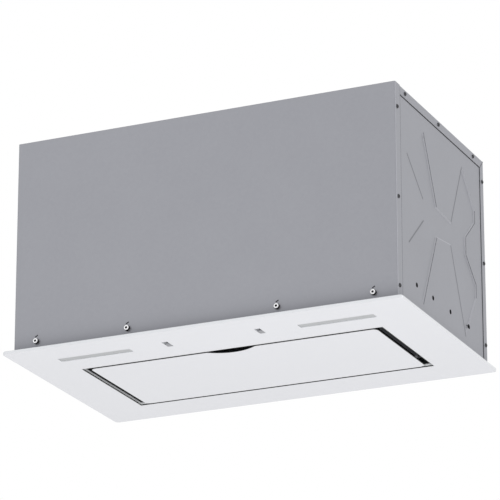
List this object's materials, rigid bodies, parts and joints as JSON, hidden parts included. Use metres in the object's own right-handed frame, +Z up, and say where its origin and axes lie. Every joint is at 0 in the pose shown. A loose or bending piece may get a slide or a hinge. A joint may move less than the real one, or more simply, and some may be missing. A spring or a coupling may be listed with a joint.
{
  "type": "built-in range hood",
  "caption": "Built-in range hood: white glass panel with a hinged perimeter-suction flap, steel body, grease filters, lamp strips, slide switches, blower and duct collar.",
  "frame": {"origin": "centre of the glass panel's underside, the face that looks at the hob", "axes": "+X to the right seen from the front, +Y to the back, +Z up towards the duct"},
  "size_m": [0.7, 0.418, 0.415],
  "materials": {
    "white_glass": "white back-painted glass, polished",
    "galvanised_steel": "grey galvanised sheet, satin",
    "dark_steel": "dark grey coated sheet",
    "painted_steel": "grey coated sheet",
    "zinc_screw": "bright zinc",
    "dark_screw": "blackened steel",
    "steel_pin": "turned steel",
    "grey_plastic": "moulded",
    "black_plastic": "moulded",
    "aluminium_frame": "rolled aluminium",
    "aluminium_mesh": "expanded aluminium",
    "diffuser": "satin diffuser, lamp off",
    "circuit_board": "solder mask",
    "switch_grey": "moulded",
    "knob_grey": "moulded",
    "blower_plastic": "moulded, dark grey",
    "impeller_steel": "galvanised strip and disc",
    "motor_steel": "painted can",
    "rubber": "moulded rubber",
    "collar_plastic": "moulded, black",
    "damper_plastic": "moulded, grey",
    "control_plastic": "moulded, pale grey",
    "capacitor_plastic": "moulded, pale grey"
  },
  "bodies": {
    "hood": {"glass_panel": "white_glass", "mounting_frame": "galvanised_steel", "suction_throat": "dark_steel", "front_wall": "galvanised_steel", "back_wall": "galvanised_steel", "top_wall": "galvanised_steel", "side_panel_right": "galvanised_steel", "side_panel_left": "galvanised_steel", "flange_screws": "dark_screw", "front_screws": "zinc_screw", "front_nuts": "zinc_screw", "hinge_bushes": "grey_plastic", "magnet_catches": "black_plastic", "filter_frame_right": "aluminium_frame", "filter_frame_left": "aluminium_frame", "filter_mesh_right": "aluminium_mesh", "filter_mesh_left": "aluminium_mesh", "latch_guides": "grey_plastic", "lamp_diffuser_right": "diffuser", "lamp_diffuser_left": "diffuser", "lamp_housing_right": "aluminium_frame", "lamp_housing_left": "aluminium_frame", "led_board_right": "circuit_board", "led_board_left": "circuit_board", "speed_switch_body": "switch_grey", "lamp_switch_body": "switch_grey", "blower_shell_right": "blower_plastic", "blower_shell_left": "blower_plastic", "shell_screws": "zinc_screw", "motor_body": "motor_steel", "motor_bracket": "galvanised_steel", "motor_bushes": "rubber", "bracket_screws": "zinc_screw", "outlet_adapter": "blower_plastic", "duct_collar": "collar_plastic", "collar_screws": "zinc_screw", "damper_pin": "steel_pin", "control_box": "control_plastic", "control_lid": "control_plastic", "control_board": "circuit_board", "run_capacitor": "capacitor_plastic", "cable_gland": "black_plastic", "gland_nut": "black_plastic"},
    "flap": {"flap_glass": "white_glass", "flap_pan": "painted_steel", "flap_hinge_pins": "steel_pin", "flap_strikers": "steel_pin"},
    "lamp_knob": {"lamp_switch_knob": "knob_grey"},
    "speed_knob": {"speed_switch_knob": "knob_grey"},
    "latch_left": {"filter_latch_left": "black_plastic"},
    "latch_right": {"filter_latch_right": "black_plastic"},
    "rotor": {"impeller_disc": "impeller_steel", "impeller_blades": "impeller_steel", "impeller_rings": "impeller_steel", "motor_shaft": "steel_pin"},
    "damper_left": {"damper_flap_left": "damper_plastic"},
    "damper_right": {"damper_flap_right": "damper_plastic"}
  },
  "joints": [
    {"name": "flap_hinge", "type": "hinge", "parent": "hood", "child": "flap", "pos_m": [0, 0.108, 0.012], "axis": [1, 0, 0], "range_deg": [0, 90]},
    {"name": "lamp_switch_slide", "type": "slide", "parent": "hood", "child": "lamp_knob", "axis": [0, -1, 0], "range_m": [0, 0.012]},
    {"name": "speed_switch_slide", "type": "slide", "parent": "hood", "child": "speed_knob", "axis": [0, -1, 0], "range_m": [0, 0.012]},
    {"name": "latch_left_slide", "type": "slide", "parent": "hood", "child": "latch_left", "axis": [0, 1, 0], "range_m": [0, 0.007], "stiffness_N_per_m": 300, "springref_m": -0.003},
    {"name": "latch_right_slide", "type": "slide", "parent": "hood", "child": "latch_right", "axis": [0, 1, 0], "range_m": [0, 0.007], "stiffness_N_per_m": 300, "springref_m": -0.003},
    {"name": "impeller_spin", "type": "hinge", "parent": "hood", "child": "rotor", "pos_m": [0, -0.055, 0.195], "axis": [1, 0, 0], "continuous": true},
    {"name": "damper_left_hinge", "type": "hinge", "parent": "hood", "child": "damper_left", "pos_m": [0, 0.031, 0.386], "axis": [0, 1, 0], "range_deg": [0, 78]},
    {"name": "damper_right_hinge", "type": "hinge", "parent": "hood", "child": "damper_right", "pos_m": [0, 0.031, 0.386], "axis": [0, -1, 0], "range_deg": [0, 78]}
  ]
}
